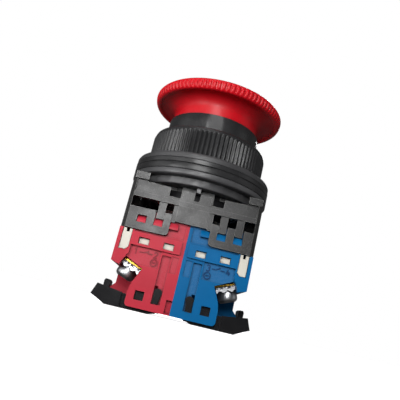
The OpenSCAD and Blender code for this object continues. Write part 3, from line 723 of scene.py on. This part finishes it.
def make_clamps():
    """The square clamp washers: pressed plates with wavy edges and two toothed lips that hold the wire."""
    half, wave, wave_end, steps, bore_r, corner_r = 3.12, 0.12, 0.95, 24, 1.82, 0.07
    outline = []
    for corner in range(4):
        for i in range(steps):
            t = -1 + 2 * i / steps
            x = half + wave * math.cos(t * math.pi * 3) * (abs(t) < wave_end)
            y = half * t
            angle = corner * math.pi / 2
            outline.append((x * math.cos(angle) - y * math.sin(angle),
                            x * math.sin(angle) + y * math.cos(angle)))
    directions = [math.atan2(y, x) for x, y in outline]
    hole = [(bore_r * math.cos(angle), bore_r * math.sin(angle)) for angle in directions]
    plate_low, plate_high = -1.35, -0.5
    body_shape = plate(outline, plate_low, plate_high, hole)
    lip_y, lip_inner, lip_half, lip_top, lip_low, tooth = 3.25, 2.82, 3.1, -1.0, -2.1, 0.55
    lips = [wavy_lip(s * lip_y, s * lip_inner, lip_half, lip_top, lip_low, tooth) for s in (-1, 1)]
    for side, sign in SIDES.items():
        for face_name, face in FACES.items():
            verts, faces = merge(body_shape, *lips)
            verts = [on_terminal(v, sign, face) for v in verts]
            name = f"{side}_{face_name}_clamp"
            made = piece(name + "_plate", verts, faces, name, "zinc", 30, name)
            round_off = made.modifiers.new("round", "BEVEL")
            round_off.width = corner_r * MM
            round_off.segments = 2
            round_off.limit_method = "ANGLE"


# ---------------------------------------------------------------- raised marks

# Lines of each mark in millimetres, as (right, up) from its middle
DIGITS = {
    "1": [[(-0.28, 0.42), (0.05, 0.75), (0.05, -0.75)]],
    "2": [[(-0.42, 0.38), (-0.28, 0.66), (0.04, 0.76), (0.34, 0.62), (0.42, 0.32), (0.25, 0.02),
           (-0.42, -0.75), (0.46, -0.75)]],
    "3": [[(-0.42, 0.56), (-0.14, 0.75), (0.22, 0.71), (0.40, 0.44), (0.30, 0.16), (-0.02, 0.04)],
          [(0.04, 0.04), (0.34, -0.10), (0.45, -0.40), (0.26, -0.70), (-0.12, -0.77), (-0.44, -0.56)]],
    "4": [[(-0.08, 0.75), (-0.46, -0.25), (0.52, -0.25)], [(0.18, 0.2), (0.18, -0.75)]],
}
CONTACT_MARKS = {
    "red": [[(-1.7, 0), (-0.6, 0), (0.42, 0.36)], [(1.7, 0), (0.6, 0), (0.6, 0.75)]],
    "blue": [[(-1.7, 0), (-0.6, 0), (0.55, 0.7)], [(1.7, 0), (0.6, 0)]],
}


def ribbon(points, width, closed=False):
    """Left and right edges of a line of even width through flat points, with mitred bends."""
    count, sharpest = len(points), 0.45
    edges = []
    for i, point in enumerate(points):
        before = points[i - 1] if closed or i else point
        after = points[(i + 1) % count] if closed or i < count - 1 else point
        ways = [Vector(b) - Vector(a) for a, b in ((before, point), (point, after)) if a != b]
        along = sum((w.normalized() for w in ways), Vector((0, 0))).normalized()
        stretch = 1 / max(along.dot(ways[0].normalized()), sharpest)
        across = Vector((-along.y, along.x)) * width / 2 * stretch
        edges.append((Vector(point) + across, Vector(point) - across))
    return edges


def raised_line(points, width, low, high, closed=False):
    """A line that stands from low to high above a face: points as (right, up, out)."""
    edges = ribbon(points, width, closed)
    verts = [(p.x, p.y, level) for level in (low, high) for pair in edges for p in pair]
    count = len(edges)
    faces = []
    for i in range(count if closed else count - 1):
        a, b = 2 * i, 2 * ((i + 1) % count)
        top = 2 * count
        faces += [(a, a + 1, b + 1, b), (top + a, top + b, top + b + 1, top + a + 1)]
        faces += [(a, b, top + b, top + a), (a + 1, top + a + 1, top + b + 1, b + 1)]
    if not closed:
        last = 2 * count - 2
        faces += [(0, 2 * count, 2 * count + 1, 1), (last, last + 1, 2 * count + last + 1, 2 * count + last)]
    return verts, faces


def ring_points(radius, steps=28):
    """Flat points round a circle."""
    return [(radius * math.cos(TAU * i / steps), radius * math.sin(TAU * i / steps)) for i in range(steps)]


def make_block_marks():
    """Contact symbols and terminal numbers, moulded in the shallow panel of each housing."""
    floor_depth, proud, stroke, step = 14.7, 0.12, 0.26, 0.01
    outer_u, inner_u, symbol_u, row_z = 12.3, 7.0, 9.65, -28.4
    ring_u, ring_z, ring_r, bar = 7.1, -30.4, 0.85, 0.42
    for side, sign in SIDES.items():
        for face_name, face in FACES.items():
            right = -face
            first, second = ("1", "2") if side == "red" else ("3", "4")
            left_u, right_u = (outer_u, inner_u) if sign * right < 0 else (inner_u, outer_u)
            marks = [(line, u, row_z, False) for digit, u in ((first, left_u), (second, right_u))
                     for line in DIGITS[digit]]
            marks += [(line, symbol_u, row_z, False) for line in CONTACT_MARKS[side]]
            marks += [(ring_points(ring_r), ring_u, ring_z, True),
                      ([(-bar, 0), (bar, 0)], ring_u, ring_z, False)]
            shapes = []
            for i, (points, u, z, closed) in enumerate(marks):
                # each line a little higher than the last, so that crossing lines share no face
                verts, faces = raised_line(points, stroke, MARK_SUNK, proud + step * i, closed)
                verts = [(sign * u + right * a, face * (floor_depth + h), z + b) for a, b, h in verts]
                shapes.append((verts, faces))
            piece(f"{side}_{face_name}_marks", *merge(*shapes), "base", f"{side}_housing", 30,
                  paint=f"{side}_mark")


def make_holder_marks():
    """Turn arrows by the locking ring's levers, and the round marks of ejector pins on the side walls."""
    wall_x, proud, stroke = 17.9, 0.12, 0.3
    arrow_y, arrow_z, pin_r, pin_y, pin_heights = 4.2, -14.0, 1.5, 8.5, (-12.6, -19.6)
    arrow = [(-1.9, 0), (1.6, 0)]
    tip = [(0.9, 0.75), (1.75, 0), (0.9, -0.75)]
    marks = [(arrow, arrow_y, arrow_z, False), (tip, arrow_y, arrow_z, False)]
    marks += [(ring_points(pin_r), y, z, True) for y in (-pin_y, pin_y) for z in pin_heights]
    shapes = []
    for sign in (-1, 1):
        for points, y, z, closed in marks:
            verts, faces = raised_line(points, stroke, MARK_SUNK, proud, closed)
            shapes.append(([(sign * (wall_x + h), sign * (y + a), z + b) for a, b, h in verts], faces))
    piece("holder_marks", *merge(*shapes), "base", "holder_grey", 30)


# ---------------------------------------------------------------- build

make_camera()
make_studio()
materials = make_materials()
paint_frame(materials)
# How far sharp edges are rounded, in millimetres
SCREW_EDGE = 0.08
EDGE_WIDTHS = {
    "block_holder": 0.12, "lock_ring": 0.1, "base_ring": 0.08,
    "red_front_shell": 0.1, "red_rear_shell": 0.1, "blue_front_shell": 0.1, "blue_rear_shell": 0.1,
    "red_insert": 0.08, "blue_insert": 0.08, "red_cover": 0.14, "blue_cover": 0.14,
}
for name, width in EDGE_WIDTHS.items():
    soften_edges(frame["nodes"][name], width)
for side in SIDES:
    for face_name in FACES:
        soften_edges(frame["nodes"][f"{side}_{face_name}_screw"], SCREW_EDGE)
make_head()
make_cap()
make_turn_arrows()
make_barrel()
make_nut()
make_springs()
make_clamps()
make_block_marks()
make_holder_marks()
